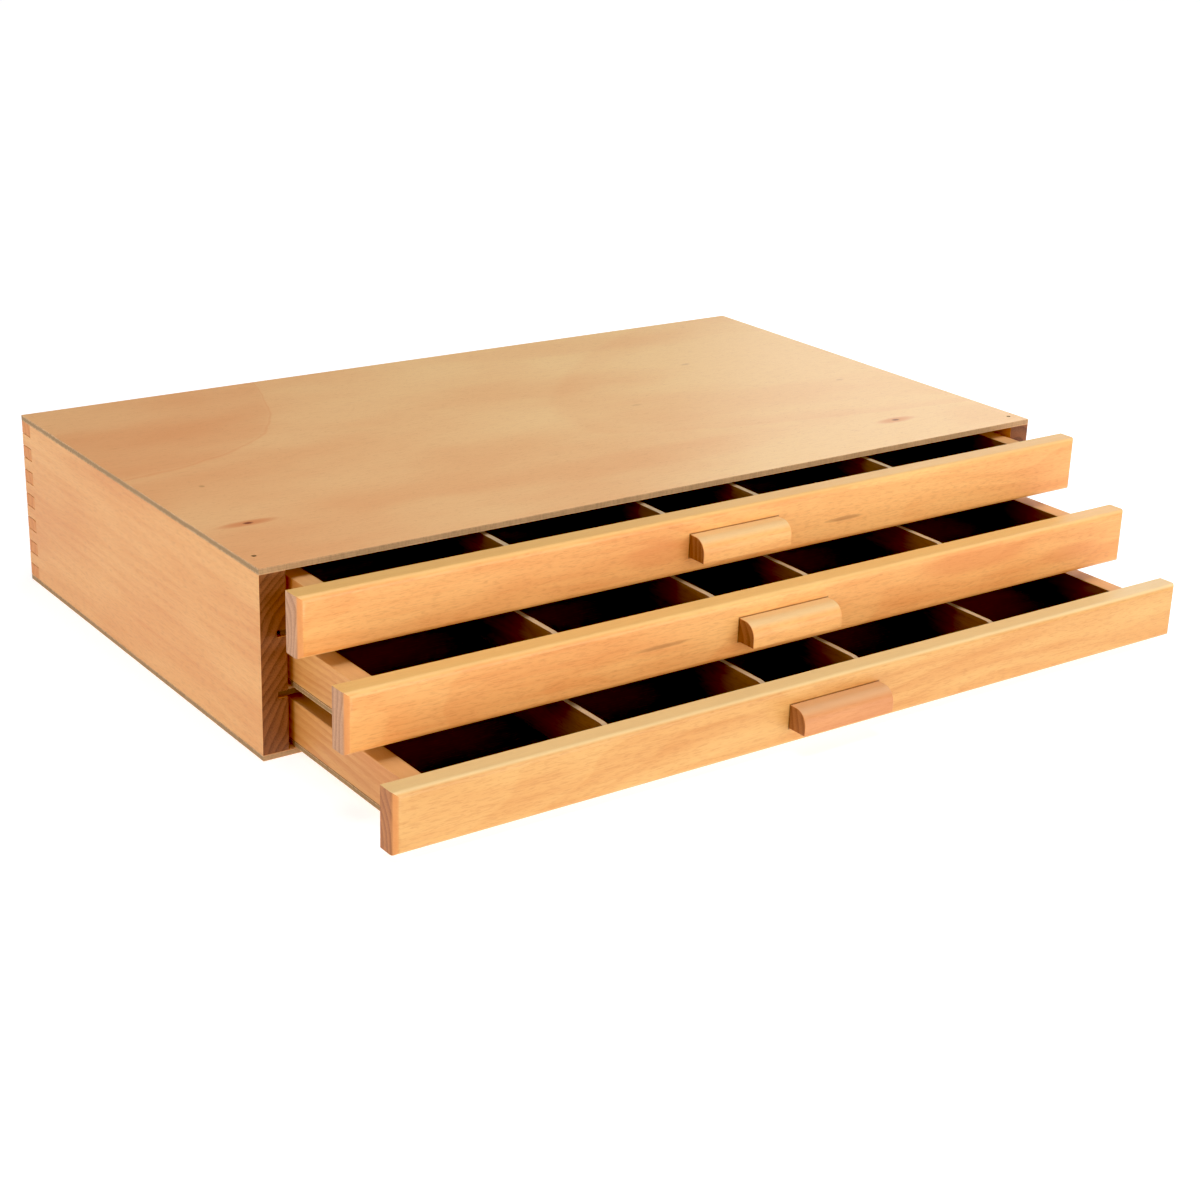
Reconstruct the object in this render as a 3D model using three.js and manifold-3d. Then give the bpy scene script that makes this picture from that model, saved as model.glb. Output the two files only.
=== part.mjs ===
// A small wooden chest with three shallow drawers, each split into five trays by thin dividers.
//
// Millimetres, +Z up. The origin is the centre of the chest's underside and the front faces -Y.
// The drawers stand drawn out like stairs: this is the rest position of their slides.

import * as THREE from "three";
import Module from "manifold-3d";
import { mergeVertices } from "three/addons/utils/BufferGeometryUtils.js";

const wasm = await Module();
wasm.setup();

// ---- Driving dimensions ----------------------------------------------------------------------

// Carcass
const WIDTH = 400;
const DEPTH = 230;
const HEIGHT = 78;
const PLY = 2.5;
const SIDE_THICKNESS = 11;
const BACK_THICKNESS = 9;
const FINGER_COUNT = 13;
const FINGER_GAP = 0.1;

// Shelves in the carcass: the drawers above slide on them
const LEVEL_PITCH = 24.75;
const SHELF_GROOVE_DEPTH = 4;
const SHELF_GROOVE_GAP = 0.25;
const SHELF_REAR_GAP = 0.5;
const SHELF_FRONT_SETBACK = 1;
const SHELVES = [
  { name: "lower_shelf", endGap: 0.5 },
  { name: "upper_shelf", endGap: 1.75 },
];

// Drawers
const SLIDE_GAP = 0.25;
const FRONT_THICKNESS = 9.5;
const FRONT_HEIGHT = 24.25;
const FRONT_ROUNDING = 2.5;
const FRONT_END_ROUNDING = 3.25;
const BOX_WIDTH = 372.5;
const BOX_LENGTH = 216;
const RAIL_THICKNESS = 8.5;
const RAIL_HEIGHT = 17;
const TRAY_PLY = 2.25;

// Dividers
const DIVIDER_THICKNESS = 2.5;
const DIVIDER_HEIGHT = 19.25;
const DIVIDER_CENTRES = [-100.5, -24.5, 24.5, 100.5];
const DIVIDER_CORNER_RADIUS = 9;
const SLOT_DEPTH = 1;
const SLOT_GAP = 0.3;

// Handles
const HANDLE_WIDTH = 46;
const HANDLE_HEIGHT = 10;
const HANDLE_DEPTH = 9.5;
const HANDLE_ROUNDING = 6;

// Brads through the front corners of the top panel
const BRAD_HEAD_RADIUS = 0.8;
const BRAD_HEAD_LENGTH = 0.9;
const BRAD_SHANK_RADIUS = 0.55;
const BRAD_LENGTH = 16;
const BRAD_POINT_LENGTH = 1.5;
const BRAD_HOLE_GAP = 0.2;
const BRAD_SETBACK = 0.4;
const BRADS = [
  { name: "top_brad_left", x: -195, y: -101.5 },
  { name: "top_brad_right", x: 195, y: -107 },
];

// How far each drawer stands open at rest, from the bottom one up
const DRAWERS = [
  { name: "bottom", opening: 88 },
  { name: "middle", opening: 54.5 },
  { name: "top", opening: 20.75 },
];

// ---- Values worked out from them ---------------------------------------------------------------

const SIDE_X = WIDTH / 2;
const INNER_X = SIDE_X - SIDE_THICKNESS;
const FRONT_Y = -DEPTH / 2;
const BACK_Y = DEPTH / 2;
const INNER_BACK_Y = BACK_Y - BACK_THICKNESS;
const BOARD_HEIGHT = HEIGHT - 2 * PLY;
const FINGER_HEIGHT = BOARD_HEIGHT / FINGER_COUNT;

// Fineness of the meshes: steps in a quarter circle, sides of a turned piece, and the distance
// within which two vertices are one.
const ARC_STEPS = 6;
const TURNED_SIDES = 12;
const SAME_POINT = 1e-4;

// How far a cutting solid reaches past the wood that it cuts.
const OVERCUT = 1;

// ---- Materials ---------------------------------------------------------------------------------

function wood(colour, roughness) {
  return new THREE.MeshStandardMaterial({ color: colour, roughness, metalness: 0 });
}

const beech = wood(0xe3a468, 0.55);
const frontBeech = wood(0xeeb16c, 0.5);
const palePly = wood(0xe2b98a, 0.55);
const innerBeech = wood(0xd9a673, 0.6);
const dividerWood = wood(0xd8b58a, 0.65);
const dullSteel = new THREE.MeshStandardMaterial({ color: 0x6e655c, roughness: 0.45, metalness: 0.9 });

// ---- Solids ------------------------------------------------------------------------------------

function solidOf(geometry) {
  const bare = geometry.index ? geometry.toNonIndexed() : geometry.clone();
  bare.deleteAttribute("normal");
  bare.deleteAttribute("uv");
  const merged = mergeVertices(bare, SAME_POINT);
  const vertProperties = new Float32Array(merged.attributes.position.array);
  const triVerts = new Uint32Array(merged.index.array);
  return new wasm.Manifold(new wasm.Mesh({ numProp: 3, vertProperties, triVerts }));
}

function geometryOf(solid) {
  const mesh = solid.getMesh();
  const geometry = new THREE.BufferGeometry();
  geometry.setAttribute("position", new THREE.BufferAttribute(mesh.vertProperties, 3));
  geometry.setIndex(new THREE.BufferAttribute(mesh.triVerts, 1));
  geometry.computeVertexNormals();
  return geometry;
}

// Two values in rising order.
function rising(a, b) {
  return a < b ? [a, b] : [b, a];
}

// A block from its lowest corner to its highest.
function block(low, high) {
  const size = high.map((value, axis) => value - low[axis]);
  const middle = high.map((value, axis) => (value + low[axis]) / 2);
  return new THREE.BoxGeometry(...size).translate(...middle);
}

// A section drawn in (y, z), swept along +X and centred on x = 0.
function sweepAlongX(shape, length) {
  const geometry = new THREE.ExtrudeGeometry(shape, {
    depth: length, bevelEnabled: false, curveSegments: ARC_STEPS,
  });
  const yzx = new THREE.Matrix4().set(
    0, 0, 1, -length / 2,
    1, 0, 0, 0,
    0, 1, 0, 0,
    0, 0, 0, 1,
  );
  return geometry.applyMatrix4(yzx);
}

// A plan drawn in (x, y), raised along +Z from zero.
function raise(shape, height) {
  return new THREE.ExtrudeGeometry(shape, {
    depth: height, bevelEnabled: false, curveSegments: ARC_STEPS,
  });
}

// A turned piece on the Z axis, from (radius, z) points that start and end on the axis.
function turned(points) {
  const outline = points.map(([radius, z]) => new THREE.Vector2(radius, z));
  return new THREE.LatheGeometry(outline, TURNED_SIDES).rotateX(Math.PI / 2);
}

function addMesh(parent, name, geometry, material) {
  const mesh = new THREE.Mesh(geometry, material);
  mesh.name = name;
  parent.add(mesh);
}

// ---- Carcass -----------------------------------------------------------------------------------

// The height of a shelf's top, counting the shelves from the lower one up.
function shelfTop(index) {
  return PLY + (index + 1) * LEVEL_PITCH;
}

function bradHole(brad) {
  const top = HEIGHT + OVERCUT;
  const neck = HEIGHT - BRAD_SETBACK - BRAD_HEAD_LENGTH - BRAD_HOLE_GAP;
  const foot = HEIGHT - BRAD_SETBACK - BRAD_LENGTH - BRAD_HOLE_GAP;
  const head = BRAD_HEAD_RADIUS + BRAD_HOLE_GAP;
  const shank = BRAD_SHANK_RADIUS + BRAD_HOLE_GAP;
  const outline = [[0, foot], [shank, foot], [shank, neck], [head, neck], [head, top], [0, top]];
  return solidOf(turned(outline).translate(brad.x, brad.y, 0));
}

function makeBrad(brad) {
  const top = HEIGHT - BRAD_SETBACK;
  const neck = top - BRAD_HEAD_LENGTH;
  const foot = top - BRAD_LENGTH;
  const outline = [
    [0, foot], [BRAD_SHANK_RADIUS, foot + BRAD_POINT_LENGTH], [BRAD_SHANK_RADIUS, neck],
    [BRAD_HEAD_RADIUS, neck], [BRAD_HEAD_RADIUS, top], [0, top],
  ];
  return geometryOf(solidOf(turned(outline).translate(brad.x, brad.y, 0)));
}

function makeTopPanel() {
  let panel = solidOf(block([-SIDE_X, FRONT_Y, HEIGHT - PLY], [SIDE_X, BACK_Y, HEIGHT]));
  for (const brad of BRADS) {
    panel = panel.subtract(bradHole(brad));
  }
  return geometryOf(panel);
}

// One side board: hand is -1 for the left one and 1 for the right one. The even fingers, counted
// from the underside, belong to the back board, so the side is notched there.
function makeSide(hand) {
  const [left, right] = rising(hand * INNER_X, hand * SIDE_X);
  let side = solidOf(block([left, FRONT_Y, PLY], [right, BACK_Y, HEIGHT - PLY]));
  for (let finger = 0; finger < FINGER_COUNT; finger += 2) {
    const below = finger === 0 ? OVERCUT : FINGER_GAP;
    const above = finger === FINGER_COUNT - 1 ? OVERCUT : FINGER_GAP;
    const notch = block(
      [left - OVERCUT, INNER_BACK_Y - FINGER_GAP, PLY + finger * FINGER_HEIGHT - below],
      [right + OVERCUT, BACK_Y + OVERCUT, PLY + (finger + 1) * FINGER_HEIGHT + above],
    );
    side = side.subtract(solidOf(notch));
  }
  const [grooveLeft, grooveRight] = rising(
    hand * (INNER_X - OVERCUT),
    hand * (INNER_X + SHELF_GROOVE_DEPTH),
  );
  SHELVES.forEach((shelf, index) => {
    const groove = block(
      [grooveLeft, FRONT_Y - OVERCUT, shelfTop(index) - PLY - SHELF_GROOVE_GAP / 2],
      [grooveRight, INNER_BACK_Y - FINGER_GAP, shelfTop(index) + SHELF_GROOVE_GAP / 2],
    );
    side = side.subtract(solidOf(groove));
  });
  for (const brad of BRADS) {
    side = side.subtract(bradHole(brad));
  }
  return geometryOf(side);
}

function makeBackBoard() {
  let back = solidOf(block([-SIDE_X, INNER_BACK_Y, PLY], [SIDE_X, BACK_Y, HEIGHT - PLY]));
  for (let finger = 1; finger < FINGER_COUNT; finger += 2) {
    const low = PLY + finger * FINGER_HEIGHT - FINGER_GAP;
    const high = PLY + (finger + 1) * FINGER_HEIGHT + FINGER_GAP;
    for (const hand of [-1, 1]) {
      const [left, right] = rising(hand * (INNER_X - FINGER_GAP), hand * (SIDE_X + OVERCUT));
      const notch = block([left, INNER_BACK_Y - OVERCUT, low], [right, BACK_Y + OVERCUT, high]);
      back = back.subtract(solidOf(notch));
    }
  }
  return geometryOf(back);
}

function makeShelf({ endGap }, index) {
  const reach = INNER_X + SHELF_GROOVE_DEPTH - endGap;
  const top = shelfTop(index);
  return block(
    [-reach, FRONT_Y + SHELF_FRONT_SETBACK, top - PLY],
    [reach, INNER_BACK_Y - SHELF_REAR_GAP, top],
  );
}

function makeCarcass() {
  const carcass = new THREE.Group();
  addMesh(carcass, "bottom_panel", block([-SIDE_X, FRONT_Y, 0], [SIDE_X, BACK_Y, PLY]), palePly);
  addMesh(carcass, "top_panel", makeTopPanel(), palePly);
  addMesh(carcass, "left_side", makeSide(-1), beech);
  addMesh(carcass, "right_side", makeSide(1), beech);
  addMesh(carcass, "back_board", makeBackBoard(), beech);
  SHELVES.forEach((shelf, index) => {
    addMesh(carcass, shelf.name, makeShelf(shelf, index), palePly);
  });
  for (const brad of BRADS) {
    addMesh(carcass, brad.name, makeBrad(brad), dullSteel);
  }
  return carcass;
}

// ---- Drawer ------------------------------------------------------------------------------------
// A drawer's own frame: x = 0 at its middle, y = 0 at the back face of its front and growing
// towards its rear, z = 0 at its underside.

// A convex outline: each point may round its corner by a quarter circle of its own radius, on
// outlines whose sides run along the two axes.
function roundedOutline(corners) {
  const shape = new THREE.Shape();
  corners.forEach(([u, v, radius = 0], index) => {
    const before = corners[(index + corners.length - 1) % corners.length];
    const after = corners[(index + 1) % corners.length];
    const from = new THREE.Vector2(before[0] - u, before[1] - v).setLength(radius);
    const to = new THREE.Vector2(after[0] - u, after[1] - v).setLength(radius);
    const start = [u + from.x, v + from.y];
    if (index === 0) {
      shape.moveTo(...start);
    } else {
      shape.lineTo(...start);
    }
    if (radius > 0) {
      const centre = [u + from.x + to.x, v + from.y + to.y];
      const startAngle = Math.atan2(-to.y, -to.x);
      const endAngle = Math.atan2(-from.y, -from.x);
      const turn = from.x * to.y - from.y * to.x;
      shape.absarc(...centre, radius, startAngle, endAngle, turn > 0);
    }
  });
  shape.closePath();
  return shape;
}

// The front bar: rounded over along its four front edges, with a slot behind for each divider. The
// slots stop below the bar's top, where the dividers' rounded corners leave them.
function makeFront() {
  const section = roundedOutline([
    [0, 0], [0, FRONT_HEIGHT],
    [-FRONT_THICKNESS, FRONT_HEIGHT, FRONT_ROUNDING], [-FRONT_THICKNESS, 0, FRONT_ROUNDING],
  ]);
  const plan = roundedOutline([
    [SIDE_X, 0], [-SIDE_X, 0],
    [-SIDE_X, -FRONT_THICKNESS, FRONT_END_ROUNDING], [SIDE_X, -FRONT_THICKNESS, FRONT_END_ROUNDING],
  ]);
  const swept = solidOf(sweepAlongX(section, WIDTH + 2 * OVERCUT));
  const raised = solidOf(raise(plan, FRONT_HEIGHT + 2 * OVERCUT).translate(0, 0, -OVERCUT));
  let front = swept.intersect(raised);
  const half = DIVIDER_THICKNESS / 2 + SLOT_GAP;
  const slotTop = TRAY_PLY + DIVIDER_HEIGHT - DIVIDER_CORNER_RADIUS / 2;
  for (const x of DIVIDER_CENTRES) {
    const slot = block([x - half, -SLOT_DEPTH, TRAY_PLY], [x + half, OVERCUT, slotTop]);
    front = front.subtract(solidOf(slot));
  }
  return geometryOf(front);
}

// The handle: a block with its upper front corner rounded, glued at mid-height of the front.
function makeHandle() {
  const low = (FRONT_HEIGHT - HANDLE_HEIGHT) / 2;
  const back = -FRONT_THICKNESS;
  const front = back - HANDLE_DEPTH;
  const section = roundedOutline([
    [back, low], [back, low + HANDLE_HEIGHT],
    [front, low + HANDLE_HEIGHT, HANDLE_ROUNDING], [front, low],
  ]);
  return geometryOf(solidOf(sweepAlongX(section, HANDLE_WIDTH)));
}

// A divider: from its slot in the front to the back rail, its upper front corner rounded.
function makeDivider(x) {
  const front = -SLOT_DEPTH + SLOT_GAP;
  const rear = BOX_LENGTH - RAIL_THICKNESS;
  const profile = roundedOutline([
    [rear, TRAY_PLY], [rear, TRAY_PLY + DIVIDER_HEIGHT],
    [front, TRAY_PLY + DIVIDER_HEIGHT, DIVIDER_CORNER_RADIUS], [front, TRAY_PLY],
  ]);
  return geometryOf(solidOf(sweepAlongX(profile, DIVIDER_THICKNESS).translate(x, 0, 0)));
}

function makeDrawer({ name, opening }, level) {
  const drawer = new THREE.Group();
  drawer.position.set(0, FRONT_Y - opening, PLY + SLIDE_GAP + level * LEVEL_PITCH);
  const half = BOX_WIDTH / 2;
  const inner = half - RAIL_THICKNESS;
  const railTop = TRAY_PLY + RAIL_HEIGHT;
  const backFace = BOX_LENGTH - RAIL_THICKNESS;
  const trayBottom = block([-half, 0, 0], [half, BOX_LENGTH, TRAY_PLY]);
  const leftRail = block([-half, 0, TRAY_PLY], [-inner, BOX_LENGTH, railTop]);
  const rightRail = block([inner, 0, TRAY_PLY], [half, BOX_LENGTH, railTop]);
  const backRail = block([-inner, backFace, TRAY_PLY], [inner, BOX_LENGTH, railTop]);
  addMesh(drawer, `${name}_front`, makeFront(), frontBeech);
  addMesh(drawer, `${name}_handle`, makeHandle(), frontBeech);
  addMesh(drawer, `${name}_tray_bottom`, trayBottom, palePly);
  addMesh(drawer, `${name}_left_rail`, leftRail, innerBeech);
  addMesh(drawer, `${name}_right_rail`, rightRail, innerBeech);
  addMesh(drawer, `${name}_back_rail`, backRail, innerBeech);
  DIVIDER_CENTRES.forEach((x, index) => {
    addMesh(drawer, `${name}_divider_${index + 1}`, makeDivider(x), dividerWood);
  });
  return drawer;
}

// ---- The whole chest -----------------------------------------------------------------------------

const chest = new THREE.Group();
chest.add(makeCarcass());
DRAWERS.forEach((drawer, level) => chest.add(makeDrawer(drawer, level)));

export default chest;
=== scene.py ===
"""The looks of a small wooden chest with three shallow drawers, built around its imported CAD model.

Every board is the CAD part itself, with eased edges and a wood made of nodes. The woods are solid
ones: growth rings, rays and pores are functions of the place inside the board, so that the long
faces show bands and flecks, and the sawn ends show end grain that continues them.
"""

import math

import bpy
from mathutils import Matrix, Vector


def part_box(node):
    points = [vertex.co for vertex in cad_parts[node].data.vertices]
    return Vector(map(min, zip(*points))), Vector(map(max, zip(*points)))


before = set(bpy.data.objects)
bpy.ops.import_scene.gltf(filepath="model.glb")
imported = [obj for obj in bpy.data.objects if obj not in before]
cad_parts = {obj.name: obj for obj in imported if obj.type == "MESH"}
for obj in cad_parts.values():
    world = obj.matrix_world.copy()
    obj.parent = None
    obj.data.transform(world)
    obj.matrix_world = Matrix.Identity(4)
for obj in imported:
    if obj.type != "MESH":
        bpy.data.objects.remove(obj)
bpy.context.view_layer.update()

MM = 0.001
DRAWERS = ("top", "middle", "bottom")

# The camera: where it stands from the object's origin, how its axis points and leans in degrees,
# and its lens and sensor in millimetres.
CAMERA_PLACE = Vector((-536.2, -787.6, 355.4)) * MM
CAMERA_AZIMUTH = 36.16
CAMERA_ELEVATION = 21.02
CAMERA_ROLL = -1.99
CAMERA_LENS = 64.83
SENSOR_WIDTH = 36.0

# The studio's lamps: the way each one lies from the chest, its distance, size in metres and watts.
LAMPS = {
    "key_light": ((0.15, -1.0, 0.42), 1.8, 1.8, 0.25, 8.0),
    "low_light": ((0.15, -1.0, 0.10), 1.7, 1.6, 0.20, 10.5),
    "left_light": ((-1.0, -0.05, 0.22), 1.5, 1.0, 0.40, 6.3),
    "right_light": ((1.0, 0.0, 0.42), 1.4, 1.0, 0.40, 6.0),
    "rear_light": ((0.82, 0.57, 0.28), 1.5, 0.7, 0.40, 2.0),
    "high_light": ((0.0, -0.15, 1.0), 1.5, 1.2, 0.8, 14.3),
}
# Where the lamps are aimed, in metres.
LAMP_TARGET = Vector((0.0, -0.05, 0.04))

# The world's brightness at the horizon and above, and the directions' heights between which it fades.
WORLD_HORIZON = 0.7
WORLD_ABOVE = 0.02
WORLD_FADE = (0.02, 0.25)

# The floor: its reach and its sink below the chest in metres, its grey, and its glow near the chest
# and far off, with the distances in metres between which the glow grows.
FLOOR_REACH = 12.0
FLOOR_SINK = 0.2 * MM
FLOOR_GREY = 0.55
GLOW_NEAR = 0.75
GLOW_FAR = 0.97
GLOW_DISTANCES = (0.3, 1.1)

# The level that the display shows as black.
BLACK_LEVEL = 0.018

# A half axis in millimetres that is far more than the chest's height, for marks that go through it.
ANY_HEIGHT = 500.0

# How a CAD part's mesh is joined, flattened and eased: the widest gap joined, in metres, and the
# angles in degrees below which two faces are one and above which an edge is eased.
JOIN_GAP = 0.005 * MM
FLAT_ANGLE = 1.0
SHARP_ANGLE = 32.0
EASE_SEGMENTS = 2


# ---- Node building ---------------------------------------------------------------------------------


def srgb(code):
    """A linear colour from a 0xRRGGBB code."""
    channels = [(code >> shift & 255) / 255 for shift in (16, 8, 0)]
    linear = [c / 12.92 if c <= 0.04045 else ((c + 0.055) / 1.055) ** 2.4 for c in channels]
    return (*linear, 1.0)


class Nodes:
    """A new material, and short calls that add nodes to it. Each call returns an output socket."""

    def __init__(self, name):
        self.material = bpy.data.materials.new(name)
        self.material.use_nodes = True
        self.tree = self.material.node_tree
        self.shader = self.tree.nodes["Principled BSDF"]

    def add(self, kind, output=0, inputs=None, **settings):
        node = self.tree.nodes.new(kind)
        for key, value in settings.items():
            setattr(node, key, value)
        for key, value in (inputs or {}).items():
            self.feed(node.inputs[key], value)
        return node.outputs[output]

    def feed(self, socket, value):
        if isinstance(value, bpy.types.NodeSocket):
            self.tree.links.new(value, socket)
        else:
            socket.default_value = value

    def math(self, operation, a, b=0.0, c=0.0, clamp=False):
        values = {0: a, 1: b, 2: c}
        return self.add("ShaderNodeMath", inputs=values, operation=operation, use_clamp=clamp)

    def times(self, a, *others):
        for other in others:
            a = self.math("MULTIPLY", a, other)
        return a

    def between(self, value, low, high, to_low=0.0, to_high=1.0):
        """value, eased from to_low at low to to_high at high."""
        values = {"Value": value, "From Min": low, "From Max": high, "To Min": to_low, "To Max": to_high}
        return self.add("ShaderNodeMapRange", inputs=values, interpolation_type="SMOOTHSTEP")

    def mix(self, share, a, b):
        """Colour a, with so much of colour b. The node's sockets 6, 7 and 2 are the colour ones."""
        values = {"Factor": share, 6: a, 7: b}
        return self.add("ShaderNodeMix", 2, values, data_type="RGBA")

    def noise(self, place, scales, seed=0.0, detail=3.0, roughness=0.5):
        """Noise at a place of three sockets, with so many waves a millimetre along each."""
        x, y, z = (self.math("MULTIPLY", part, scale) for part, scale in zip(place, scales))
        vector = self.vector(self.math("ADD", x, seed * 17.3), y, self.math("ADD", z, seed * 5.1))
        values = {"Vector": vector, "Scale": 1.0, "Detail": detail, "Roughness": roughness}
        return self.add("ShaderNodeTexNoise", inputs=values)

    def vector(self, x, y, z):
        return self.add("ShaderNodeCombineXYZ", inputs={0: x, 1: y, 2: z})

    def split(self, vector):
        node = self.add("ShaderNodeSeparateXYZ", inputs={0: vector}).node
        return list(node.outputs)

    def place(self):
        """The point's x, y and z in the row frame at rest, in millimetres."""
        metres = self.add("ShaderNodeTexCoord", "Object")
        scaled = self.add(
            "ShaderNodeVectorMath", inputs={0: metres, "Scale": 1 / MM}, operation="SCALE"
        )
        return self.split(scaled)

    def facing(self):
        """How squarely the surface faces along x, y and z, from 0 to 1 each."""
        normal = self.split(self.add("ShaderNodeTexCoord", "Normal"))
        return [self.math("ABSOLUTE", part) for part in normal]

    def blob(self, place, middle, reach):
        """1 at the middle, easing to 0 at an ellipsoid whose half axes are reach."""
        total = 0.0
        for part, at, half in zip(place, middle, reach):
            offset = self.math("DIVIDE", self.math("SUBTRACT", part, at), half)
            total = self.math("MULTIPLY_ADD", offset, offset, total)
        return self.between(total, 1.0, 0.0)

    def rectangle(self, place, middle, half_sizes):
        """1 within a rectangle seen from the front, easing to 0 at 0.6 mm outside it."""
        outside = []
        for part, at, half in zip(place[::2], middle, half_sizes):
            reach = self.math("ABSOLUTE", self.math("SUBTRACT", part, at))
            outside.append(self.math("SUBTRACT", reach, half))
        return self.between(self.math("MAXIMUM", *outside), 0.6, 0.1)

    def finish(self, colour, roughness, height, depth_mm):
        """Joins the shader. height runs from 0 to 1, and depth_mm is how far that is."""
        self.feed(self.shader.inputs["Base Color"], colour)
        self.feed(self.shader.inputs["Roughness"], roughness)
        values = {"Height": height, "Distance": depth_mm * MM, "Strength": 1.0}
        self.feed(self.shader.inputs["Normal"], self.add("ShaderNodeBump", inputs=values))
        return self.material


# ---- Woods -----------------------------------------------------------------------------------------

# The order along, across, up for each grain axis.
AXES = {"X": (0, 1, 2), "Y": (1, 0, 2)}

# How strongly the ray flecks colour the beech.
FLECK_STRENGTH = 0.32


def middle_of(node):
    """The middle of a CAD part's box, in millimetres."""
    low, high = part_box(node)
    return (low + high) / (2 * MM)


def outline_of(node):
    """A CAD part's middle and half sizes along x and z, in millimetres."""
    low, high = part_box(node)
    middle = middle_of(node)
    return (middle.x, middle.z), ((high.x - low.x) / (2 * MM), (high.z - low.z) / (2 * MM))


def growth_rings(n, line, centre, pith, ring, seed):
    """Each year's dark late wood. The rings wander, about a pith that leans slowly from the board."""
    along, across, up = line
    drift = n.noise(line, (0.007, 0.03, 0.03), seed, 1.0)
    side = n.math("MULTIPLY_ADD", along, 0.03, n.math("SUBTRACT", across, centre[1] + pith[0]))
    rise = n.math("SUBTRACT", up, centre[2] + pith[1])
    square = n.math("MULTIPLY_ADD", side, side, n.times(rise, rise))
    radius = n.math("MULTIPLY_ADD", drift, 24.0, n.math("SQRT", square))
    turns = n.math("FRACT", n.math("DIVIDE", radius, ring))
    return n.times(n.between(turns, 0.2, 0.9), n.between(turns, 1.0, 0.92))


def long_tone(n, line, late, bands, seed):
    """How dark the long faces are: the rings, with broad and narrow changes along the board."""
    broad = n.between(n.noise(line, (0.011, 0.045, 0.045), seed + 4.0, 2.0), 0.32, 0.7)
    streaks = n.between(n.noise(line, (0.02, 0.35, 0.35), seed + 6.0, 3.0), 0.4, 0.68)
    tone = n.math("MULTIPLY_ADD", late, bands, n.times(broad, 0.6))
    return n.math("MULTIPLY_ADD", streaks, 0.28, tone, clamp=True)


def ray_dashes(n, line, seed):
    """Dense short dashes along the grain, soft ones and a few dark ones."""
    soft = n.between(n.noise(line, (0.22, 1.7, 1.7), seed + 1.0, 2.0), 0.48, 0.66)
    sharp = n.between(n.noise(line, (0.34, 2.4, 2.4), seed + 2.0, 1.0), 0.58, 0.72)
    return n.math("MULTIPLY_ADD", sharp, 0.6, n.times(soft, 0.65), clamp=True)


def end_grain(n, line, late, end_bands, tones, seed):
    """The sawn ends' colour: the same rings, and rays across them."""
    dots = n.between(n.noise(line, (0.3, 2.2, 2.2), seed, 2.0, 0.6), 0.35, 0.7)
    tone = n.math("MULTIPLY_ADD", late, end_bands, n.times(dots, 0.35), clamp=True)
    return n.mix(tone, tones["end"], tones["end_dark"])


def beech(name, board, grain, seed, tones, pith=(150.0, -20.0), ring=3.2, bands=0.25, end_bands=0.6,
          roughness=0.42, marks=(), joint=None):
    """Solid beech. board is the part that it is cut for, and grain the axis that it runs along.

    tones has the colours light, dark, fleck, end, end_dark and turn, the last for where a rounded
    end turns across the grain, and may have top, a paler colour for the upper faces that is a painted
    highlight from the light above. pith is the log's middle from the board's, across the grain, and
    ring a growth ring's width, in millimetres. bands and end_bands say how strongly the rings show on
    the long faces and the ends. marks are soft stains and painted shade: (place, half axes, strength,
    colour), in millimetres along x, y and z. joint is where another part is glued on: its middle and
    half sizes along x and z, dark at its rim with glue and with painted shade of the gap.
    """
    n = Nodes(name)
    place = n.place()
    order = AXES[grain]
    line = [place[i] for i in order]
    centre = [middle_of(board)[i] for i in order]
    late = growth_rings(n, line, centre, pith, ring, seed)
    dashes = ray_dashes(n, line, seed)
    # Pores: fine hair lines.
    pores = n.between(n.noise(line, (0.12, 4.2, 4.2), seed + 3.0, 2.0, 0.6), 0.5, 0.72)
    colour = n.mix(long_tone(n, line, late, bands, seed), tones["light"], tones["dark"])
    colour = n.mix(n.times(pores, 0.22), colour, tones["dark"])
    colour = n.mix(n.times(dashes, FLECK_STRENGTH), colour, tones["fleck"])
    for middle, reach, strength, stain in marks:
        colour = n.mix(n.times(n.blob(place, middle, reach), strength), colour, stain)
    # The dark line round a glued-on part: glue, darkened further as painted shade of the gap between the
    # parts.
    if joint is not None:
        colour = n.mix(n.times(n.rectangle(place, *joint), 0.75), colour, GLUE_AND_GAP_SHADE)
    # Painted highlight: upward faces take the paler top colour, as light from above falls on them.
    if "top" in tones:
        painted_top_light = n.between(n.facing()[2], 0.5, 0.85)
        colour = n.mix(n.times(painted_top_light, 0.7), colour, tones["top"])
    squarely = n.facing()[order[0]]
    is_turn = n.between(squarely, 0.15, 0.6)
    is_end = n.between(squarely, 0.80, 0.97)
    colour = n.mix(n.times(is_turn, 0.75), colour, tones["turn"])
    colour = n.mix(is_end, colour, end_grain(n, line, late, end_bands, tones, seed))
    height = n.math("SUBTRACT", 1.0, n.math("MULTIPLY_ADD", dashes, 0.5, n.times(pores, 0.5)))
    rough = n.math("MULTIPLY_ADD", pores, 0.08, n.math("MULTIPLY_ADD", is_end, 0.18, roughness))
    return n.finish(colour, rough, height, 0.02)


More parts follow.
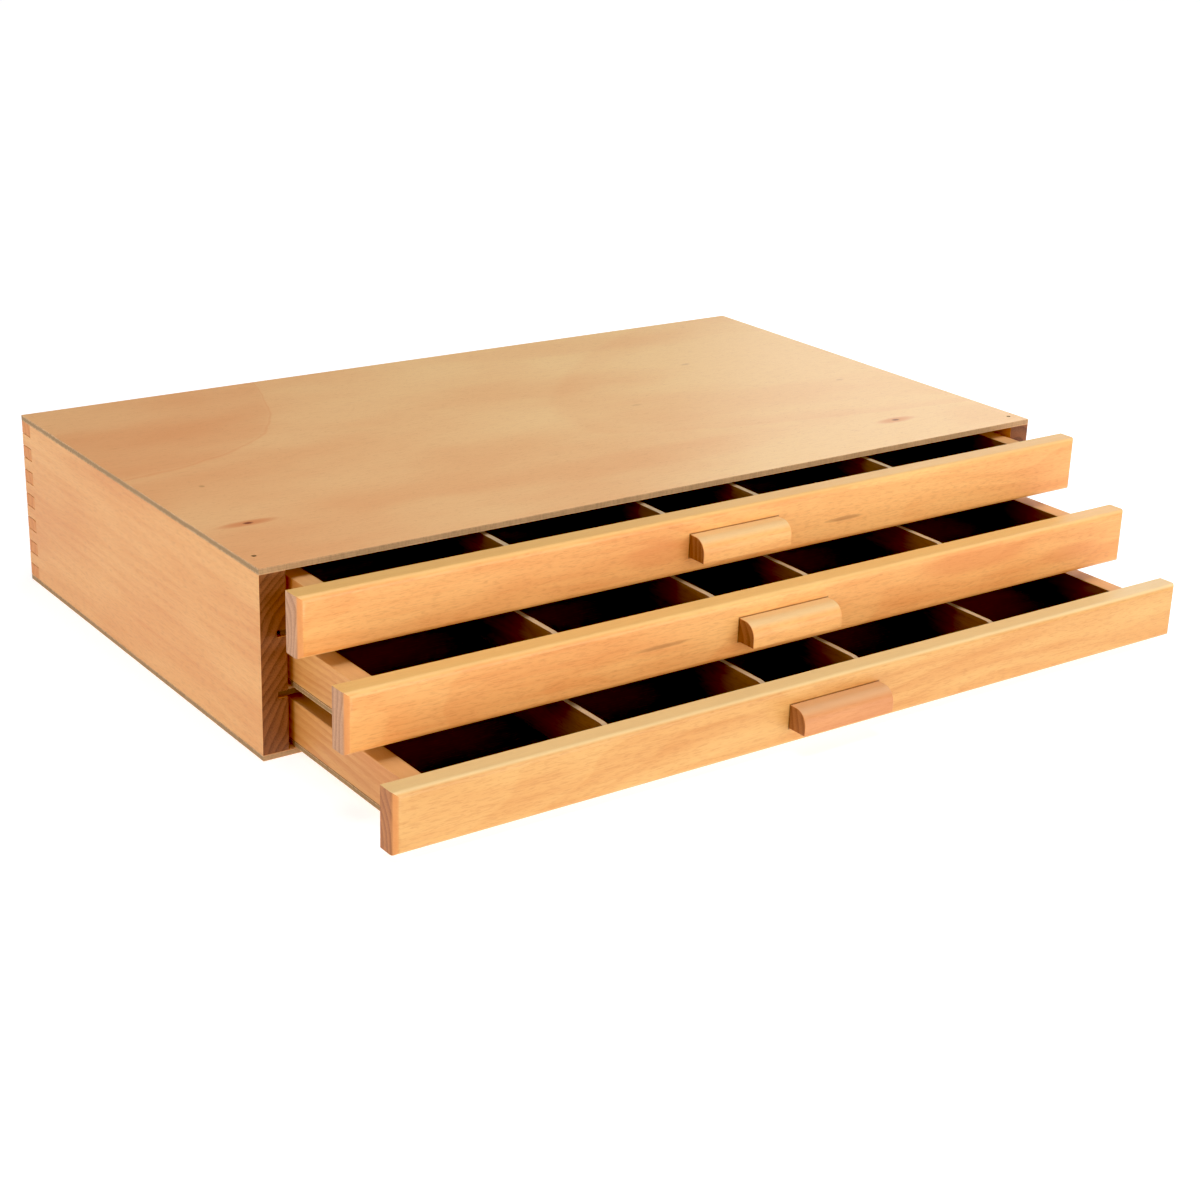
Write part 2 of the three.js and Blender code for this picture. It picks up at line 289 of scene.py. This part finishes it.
def veneer(n, place, level, seed, tones, figure):
    """A face veneer's colour, with soft figure along X, and its hairs. level runs from 0 at the
    panel's lower face to 1 at its upper one."""
    cloud = n.between(n.noise(place, (0.008, 0.02, 0.0), seed + 3.0), 0.35, 0.7)
    if figure is None:
        bend = n.noise(place, (0.004, 0.009, 0.0), seed, 2.0)
        bands = n.math("FRACT", n.math("MULTIPLY_ADD", bend, 5.0, n.times(place[1], 0.012)))
        band = n.times(n.between(bands, 0.1, 0.9), n.between(bands, 1.0, 0.9))
        tone = n.math("MULTIPLY_ADD", band, 0.25, n.times(cloud, 0.35))
    else:
        tone = figure(n, place, cloud)
    face = n.mix(tone, tones["light"], tones["dark"])
    if "under" in tones:
        face = n.mix(n.between(level, 0.6, 0.4), face, tones["under"])
    hair = n.noise(place, (0.10, 2.0, 0.0), seed, 3.0, 0.6)
    specks = n.between(n.noise(place, (0.5, 2.6, 0.0), seed + 5.0, 1.0), 0.62, 0.74)
    face = n.mix(n.times(n.between(hair, 0.48, 0.75), 0.24), face, tones["hair"])
    face = n.mix(n.times(specks, 0.3), face, tones["hair"])
    return face, hair


def ply_edge(n, place, level, seed, tones):
    """A panel's edge: two face plies and a core, with sawn fibres standing across them. Returns its
    colour, and how deep the fibres and the glue lines lie."""
    wander = n.noise(place, (0.05, 0.05, 0.0), seed, 2.0)
    level = n.math("MULTIPLY_ADD", n.math("SUBTRACT", wander, 0.5), 0.16, level)
    off_middle = n.math("ABSOLUTE", n.math("SUBTRACT", level, 0.5))
    in_core = n.between(off_middle, 0.27, 0.23)
    glue = n.times(n.between(off_middle, 0.20, 0.25), n.between(off_middle, 0.31, 0.26))
    # The face plies run along X, so they show end grain at the panel's two ends. Along its front and
    # rear the core is paler, and hardly stands out.
    fibre = n.noise(place, (1.3, 1.3, 0.35), seed, 3.0, 0.7)
    lengthwise = n.facing()[1]
    core_share = n.times(in_core, n.between(lengthwise, 0.0, 1.0, 1.0, 0.35))
    face_cut = n.times(n.math("SUBTRACT", 1.0, in_core), n.math("SUBTRACT", 1.0, lengthwise))
    cut = n.math("MULTIPLY_ADD", face_cut, 0.4, 0.22)
    patch = n.between(n.noise(place, (0.06, 0.06, 0.0), seed + 7.0, 2.0), 0.35, 0.65)
    side = n.mix(core_share, tones["edge"], tones["core"])
    side = n.mix(n.times(patch, 0.25), side, tones["core"])
    side = n.mix(n.times(n.between(fibre, 0.42, 0.66), cut), side, tones["glue"])
    side = n.mix(n.times(glue, 0.35), side, tones["glue"])
    return side, n.math("MULTIPLY_ADD", glue, 0.7, fibre)


def plywood(name, board, seed, tones, roughness=0.40, figure=None):
    """A three-ply panel lying flat. tones has the colours light, dark, hair, edge, core and glue, and
    may have under, for the lower face. figure gives the face's tones, if the panel has its own."""
    n = Nodes(name)
    place = n.place()
    low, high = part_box(board)
    thickness = (high.z - low.z) / MM
    level = n.math("DIVIDE", n.math("SUBTRACT", place[2], low.z / MM), thickness)
    face, hair = veneer(n, place, level, seed, tones, figure)
    if figure is not None:
        face = top_marks(n, place, face)
    side, side_depth = ply_edge(n, place, level, seed, tones)
    is_face = n.between(n.facing()[2], 0.45, 0.8)
    side_share = n.math("SUBTRACT", 1.0, is_face)
    colour = n.mix(is_face, side, face)
    face_height = n.math("SUBTRACT", 1.0, n.times(n.between(hair, 0.45, 0.8), 0.6))
    height = n.math("SUBTRACT", face_height, n.times(side_share, side_depth))
    rough = n.math("MULTIPLY_ADD", side_share, 0.2, n.math("MULTIPLY_ADD", hair, 0.08, roughness))
    return n.finish(colour, rough, height, 0.03)


def steel(name):
    """Dull steel of the small nails."""
    n = Nodes(name)
    grime = n.noise(n.place(), (1.8, 1.8, 1.8))
    n.shader.inputs["Metallic"].default_value = 0.85
    colour = n.mix(n.between(grime, 0.35, 0.7), srgb(0x6A5A4A), srgb(0x33261C))
    return n.finish(colour, n.between(grime, 0.3, 0.7, 0.35, 0.6), grime, 0.02)


def top_figure_and_painted_sheen(n, place, cloud):
    """The top panel's figure, a darker rear left and an arch that opens to the right, with a painted
    sheen that makes it paler toward the right.
    """
    x, y, _ = place
    wobble = n.math("SUBTRACT", n.noise(place, (0.02, 0.03, 0.0), 7.0), 0.5)
    # The curve that bounds the rear left: flat on the left, and rising steeply to the rear.
    rise = n.math("EXPONENT", n.math("DIVIDE", n.math("ADD", x, 85.0), 26.0))
    curve = n.math("MULTIPLY_ADD", rise, 104.0, n.math("MULTIPLY_ADD", x, 0.1, 22.0))
    behind = n.math("MULTIPLY_ADD", wobble, 16.0, n.math("SUBTRACT", y, curve))
    rear_left = n.times(n.between(behind, -4.0, 5.0), n.between(behind, 130.0, 10.0, 0.45, 1.0))
    # The arch: its tip near the middle, its flanks spreading as a parabola to the right.
    back = n.math("SUBTRACT", y, -28.0)
    spread = n.between(back, -6.0, 6.0, 0.075, 0.0065)
    tip = n.math("SUBTRACT", n.math("SUBTRACT", x, 8.0), n.times(spread, back, back))
    tip = n.math("MULTIPLY_ADD", wobble, 14.0, tip)
    arch = n.times(n.between(tip, -5.0, 6.0), n.between(tip, 90.0, 5.0))
    front_band = n.blob(place, (10.0, -76.0, 0.0), (120.0, 16.0, ANY_HEIGHT))
    line = n.between(n.math("ABSOLUTE", behind), 1.6, 0.2)
    tone = n.math("MULTIPLY_ADD", rear_left, 0.20, n.times(cloud, 0.36))
    tone = n.math("MULTIPLY_ADD", line, 0.22, tone)
    tone = n.math("MULTIPLY_ADD", arch, 0.15, tone)
    tone = n.math("MULTIPLY_ADD", front_band, 0.22, tone)
    # Painted sheen: the panel is painted paler toward the right and darker toward the left, standing in
    # for a lamp's sheen from the right.
    return n.math("ADD", tone, n.between(x, 150.0, -200.0, -0.15, 0.42), clamp=True)


# The top panel's knots: x, y, the heart's and the halo's colours, and the halo's half axes.
KNOTS = (
    (-180.0, -67.0, srgb(0x7E3C26), srgb(0xDA7C48), (16.0, 3.8)),
    (143.5, -85.0, srgb(0x8E4A28), srgb(0xE48E52), (14.0, 4.2)),
)
# Its small marks: x, y, half length and strength.
SPOTS = (
    (118.0, 42.0, 3.5, 0.3),
    (52.0, -6.0, 4.0, 0.2),
    (168.0, -18.0, 3.0, 0.25),
    (-175.5, -17.0, 1.6, 0.5),
)


def top_marks(n, place, face):
    """Two knots, each with a halo along the grain, and a few small marks on the top panel."""
    for x, y, heart_colour, halo_colour, halo_reach in KNOTS:
        halo = n.blob(place, (x, y, 0.0), (*halo_reach, ANY_HEIGHT))
        face = n.mix(n.times(halo, 0.65), face, halo_colour)
        heart = n.blob(place, (x, y, 0.0), (2.7, 1.6, ANY_HEIGHT))
        face = n.mix(n.times(heart, 0.9), face, heart_colour)
    for x, y, half_length, strength in SPOTS:
        spot = n.blob(place, (x, y, 0.0), (half_length, 1.6, ANY_HEIGHT))
        face = n.mix(n.times(spot, strength), face, SPOT)
    return face


# The colours of stains, of the glue round a handle, of the glue line at a handle's rim with its painted
# shade of the gap, and of the painted shade on the rails' inner faces.
STREAK = srgb(0x8A4E26)
FLAME = srgb(0xDE8748)
GLUE = srgb(0xFFE6B8)
GLUE_AND_GAP_SHADE = srgb(0x6A3817)
PAINTED_SHADE = srgb(0x45240E)
SPOT = srgb(0xAA6A38)

# Each top colour below is a painted highlight for upward faces, paler where light from above falls.
FRONT_BEECH = {
    "light": srgb(0xF5B970), "dark": srgb(0xE79B56), "fleck": srgb(0xBE7236),
    "end": srgb(0xCB9A76), "end_dark": srgb(0xA87452), "turn": srgb(0xD98A4A),
    "top": srgb(0xEFC27A),
}
PALE_BEECH = dict(
    FRONT_BEECH, light=srgb(0xE0AC67), dark=srgb(0xD1914E), fleck=srgb(0xB06A2E),
    end=srgb(0xC07C48), end_dark=srgb(0x9A5C34), top=srgb(0xF2D49A),
)
FRONT_TONES = {"top": FRONT_BEECH, "middle": FRONT_BEECH, "bottom": PALE_BEECH}
# The sides' end colours are dark end grain, darkened further as painted shade of their front edges,
# which lie behind the drawer fronts.
SIDE_BEECH = {
    "light": srgb(0xE9AC66), "dark": srgb(0xDC904B), "fleck": srgb(0xB57038),
    "end": srgb(0x955A2E), "end_dark": srgb(0x50260C), "turn": srgb(0xD98A4A),
}
RAIL_BEECH = dict(FRONT_BEECH, light=srgb(0xE0A562), dark=srgb(0xCE8848), top=srgb(0xE4B078))
BACK_BEECH = dict(SIDE_BEECH, end=srgb(0xDC9458), end_dark=srgb(0xCE8048))
HANDLE_BEECH = dict(
    FRONT_BEECH, end=srgb(0xA86A3A), end_dark=srgb(0x804822), top=srgb(0xE0C08C),
)
PINK_BEECH = dict(
    HANDLE_BEECH, light=srgb(0xD8945C), dark=srgb(0xC8804C), top=srgb(0xDCAA7A),
)
# The dividers' long faces are painted dark brown as painted shade of the drawers' insides; their ends
# keep the wood's paler colour, and top is a painted highlight on their upper edges.
DIVIDER_WOOD = {
    "light": srgb(0xA8794A), "dark": srgb(0x805634), "fleck": srgb(0x5C3C1C),
    "end": srgb(0xC89C68), "end_dark": srgb(0xA07848), "turn": srgb(0xB08050), "top": srgb(0xD8C09C),
}
PANEL_PLY = {
    "light": srgb(0xFFD59B), "dark": srgb(0xF0A871), "hair": srgb(0xC88658),
    "edge": srgb(0xD2A87A), "core": srgb(0xA07E54), "glue": srgb(0x664626),
}
# The tray bottoms' upper faces are painted dark brown as painted shade of the drawers' insides; under is
# the ply's own colour, on their lower faces.
PAINTED_SHADE_TRAY_PLY = dict(PANEL_PLY, light=srgb(0x8A6038), dark=srgb(0x6C4626), under=srgb(0xE2B27C))
# The shelves' edges, cores and glue lines are painted dark as painted shade inside the grooves that hold
# them.
SHELF_PLY = dict(PANEL_PLY, edge=srgb(0x7A5430), core=srgb(0x5C3A1C), glue=srgb(0x3A220E))


def dress(node, material, ease_mm=0.35):
    """Gives a CAD part its material and eases its sharp edges."""
    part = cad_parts[node]
    part.data.materials.clear()
    part.data.materials.append(material)
    part.modifiers.new("Join", "WELD").merge_threshold = JOIN_GAP
    flat = part.modifiers.new("Flat", "DECIMATE")
    flat.decimate_type = "DISSOLVE"
    flat.angle_limit = math.radians(FLAT_ANGLE)
    ease = part.modifiers.new("Ease", "BEVEL")
    ease.width = ease_mm * MM
    ease.segments = EASE_SEGMENTS
    ease.limit_method = "ANGLE"
    ease.angle_limit = math.radians(SHARP_ANGLE)
    part.modifiers.new("Smooth", "WEIGHTED_NORMAL")
    for polygon in part.data.polygons:
        polygon.use_smooth = True


def dress_carcass():
    for side, seed, lean in (("left_side", 1.0, 90.0), ("right_side", 2.0, -90.0)):
        wood = beech(side + "_wood", side, "Y", seed, SIDE_BEECH, pith=(lean, -70.0), ring=3.4,
                     bands=0.15, end_bands=0.45)
        dress(side, wood, ease_mm=0.15)
    back_wood = beech("back_wood", "back_board", "X", 3.0, BACK_BEECH)
    dress("back_board", back_wood, ease_mm=0.15)
    top_ply = plywood("top_ply", "top_panel", 0.0, PANEL_PLY, figure=top_figure_and_painted_sheen)
    dress("top_panel", top_ply, ease_mm=0.3)
    bottom_ply = plywood("bottom_ply", "bottom_panel", 11.0, PANEL_PLY)
    dress("bottom_panel", bottom_ply, ease_mm=0.3)
    for shelf, seed in (("upper_shelf", 21.0), ("lower_shelf", 31.0)):
        dress(shelf, plywood(shelf + "_ply", shelf, seed, SHELF_PLY, roughness=0.5), ease_mm=0.25)
    nails = steel("nail_steel")
    for nail in ("top_brad_left", "top_brad_right"):
        dress(nail, nails, ease_mm=0.12)


# Painted shade along the rails' inner faces, darkening them where the drawers' insides lie in shadow.
# In millimetres: where it lies along x, its middle along y and z, and its half axes, which are long
# enough for the whole rail.
RAIL_INNER_X = 177.5
RAIL_SHADE_MIDDLE = (-100.0, 45.0)
RAIL_SHADE_REACH = (1.6, 1000.0, 1000.0)

# Where the faces of two drawers' fronts are along y, in millimetres.
TOP_FACE_Y = -145.0
MIDDLE_FACE_Y = -179.0

# Stains: (place, half axes, strength, colour), in millimetres. Each front has its own.
FRONT_MARKS = {
    "top": [
        ((60.0, TOP_FACE_Y, 62.0), (12.5, 3.0, 1.2), 0.5, STREAK),
        ((-38.0, TOP_FACE_Y, 64.0), (22.0, 9.0, 8.0), 0.45, FLAME),
        ((25.0, TOP_FACE_Y, 76.0), (30.0, 9.0, 3.5), 0.4, FLAME),
    ],
    "middle": [
        ((-61.0, MIDDLE_FACE_Y, 40.5), (16.0, 3.0, 1.1), 0.45, STREAK),
        ((105.0, MIDDLE_FACE_Y, 46.0), (42.0, 9.0, 7.5), 0.6, FLAME),
        ((165.0, MIDDLE_FACE_Y, 38.0), (26.0, 9.0, 5.0), 0.5, FLAME),
        ((-14.0, MIDDLE_FACE_Y, 53.0), (0.7, 3.0, 2.6), 0.5, GLUE),
    ],
    "bottom": [],
}


def dress_drawer(name, index):
    seed = 10.0 * index + 5.0
    front = name + "_front"
    handle = name + "_handle"
    front_wood = beech(front + "_wood", front, "X", seed, FRONT_TONES[name],
                       marks=FRONT_MARKS[name], joint=outline_of(handle))
    dress(front, front_wood)
    handle_tones = PINK_BEECH if name == "bottom" else HANDLE_BEECH
    dress(handle, beech(handle + "_wood", handle, "X", seed + 1, handle_tones))
    for part, inner in (("_left_rail", -RAIL_INNER_X), ("_right_rail", RAIL_INNER_X)):
        rail = name + part
        # Painted shade: the rails' inner faces are darkened where the drawer's inside lies in shadow.
        shade = ((inner, *RAIL_SHADE_MIDDLE), RAIL_SHADE_REACH, 0.75, PAINTED_SHADE)
        rail_wood = beech(rail + "_wood", rail, "Y", seed + 2, RAIL_BEECH, pith=(40.0, -60.0),
                          bands=0.5, roughness=0.5, marks=(shade,))
        dress(rail, rail_wood)
    back = name + "_back_rail"
    dress(back, beech(back + "_wood", back, "X", seed + 3, RAIL_BEECH, roughness=0.5))
    tray = name + "_tray_bottom"
    dress(tray, plywood(name + "_tray_ply", tray, seed + 4, PAINTED_SHADE_TRAY_PLY, roughness=0.55), ease_mm=0.2)
    divider_wood = beech(name + "_divider_wood", name + "_divider_2", "Y", seed + 5, DIVIDER_WOOD,
                         roughness=0.55)
    for number in range(1, 5):
        dress(f"{name}_divider_{number}", divider_wood, ease_mm=0.2)


# ---- Studio ----------------------------------------------------------------------------------------


def softbox(name, toward, distance, width, height, power):
    """A rectangular light in the direction toward, aimed near the chest's middle."""
    data = bpy.data.lights.new(name, "AREA")
    data.shape = "RECTANGLE"
    data.size = width
    data.size_y = height
    data.energy = power
    lamp = bpy.data.objects.new(name, data)
    direction = Vector(toward).normalized()
    lamp.location = LAMP_TARGET + direction * distance
    lamp.rotation_euler = direction.to_track_quat("Z", "Y").to_euler()
    bpy.context.scene.collection.objects.link(lamp)


def make_floor():
    """A pale floor that glows a little, more so far away, and so stays pale into the distance."""
    signs = ((-1, -1), (1, -1), (1, 1), (-1, 1))
    corners = [(x * FLOOR_REACH, y * FLOOR_REACH, -FLOOR_SINK) for x, y in signs]
    mesh = bpy.data.meshes.new("floor")
    mesh.from_pydata(corners, [], [(0, 1, 2, 3)])
    floor = bpy.data.objects.new("floor", mesh)
    bpy.context.scene.collection.objects.link(floor)
    n = Nodes("floor_paper")
    n.shader.inputs["Base Color"].default_value = (FLOOR_GREY, FLOOR_GREY, FLOOR_GREY, 1)
    n.shader.inputs["Roughness"].default_value = 0.9
    n.shader.inputs["Specular IOR Level"].default_value = 0.1
    n.shader.inputs["Emission Color"].default_value = (1, 1, 1, 1)
    metres = n.add("ShaderNodeTexCoord", "Object")
    far = n.add("ShaderNodeVectorMath", "Value", {0: metres}, operation="LENGTH")
    glow = n.between(far, *GLOW_DISTANCES, GLOW_NEAR, GLOW_FAR)
    n.feed(n.shader.inputs["Emission Strength"], glow)
    mesh.materials.append(n.material)


def make_world():
    """Dim above, and bright near the horizon, as a studio's pale walls are."""
    world = bpy.data.worlds.new("studio")
    world.use_nodes = True
    tree = world.node_tree
    background = tree.nodes["Background"]
    background.inputs["Color"].default_value = (1, 1, 1, 1)
    place = tree.nodes.new("ShaderNodeTexCoord")
    split = tree.nodes.new("ShaderNodeSeparateXYZ")
    fade = tree.nodes.new("ShaderNodeMapRange")
    fade.interpolation_type = "SMOOTHSTEP"
    fade.inputs["From Min"].default_value = WORLD_FADE[0]
    fade.inputs["From Max"].default_value = WORLD_FADE[1]
    fade.inputs["To Min"].default_value = WORLD_HORIZON
    fade.inputs["To Max"].default_value = WORLD_ABOVE
    tree.links.new(place.outputs["Generated"], split.inputs[0])
    tree.links.new(split.outputs["Z"], fade.inputs["Value"])
    tree.links.new(fade.outputs[0], background.inputs["Strength"])
    bpy.context.scene.world = world


def make_studio():
    make_floor()
    make_world()
    for name, settings in LAMPS.items():
        softbox(name, *settings)


def make_camera():
    data = bpy.data.cameras.new("camera")
    data.lens = CAMERA_LENS
    data.sensor_width = SENSOR_WIDTH
    data.clip_start = 0.01
    data.clip_end = 100
    camera = bpy.data.objects.new("camera", data)
    turn = Matrix.Rotation(-math.radians(CAMERA_AZIMUTH), 4, "Z")
    lift = Matrix.Rotation(math.radians(90 - CAMERA_ELEVATION), 4, "X")
    lean = Matrix.Rotation(math.radians(-CAMERA_ROLL), 4, "Z")
    camera.matrix_world = Matrix.Translation(CAMERA_PLACE) @ turn @ lift @ lean
    bpy.context.scene.collection.objects.link(camera)
    bpy.context.scene.camera = camera


def set_tone():
    """The plain display transform, with the blacks set a little deeper."""
    view = bpy.context.scene.view_settings
    view.view_transform = "Standard"
    view.use_curve_mapping = True
    view.curve_mapping.black_level = (BLACK_LEVEL, BLACK_LEVEL, BLACK_LEVEL)


make_camera()
make_studio()
set_tone()
dress_carcass()
for index, drawer in enumerate(DRAWERS):
    dress_drawer(drawer, index)
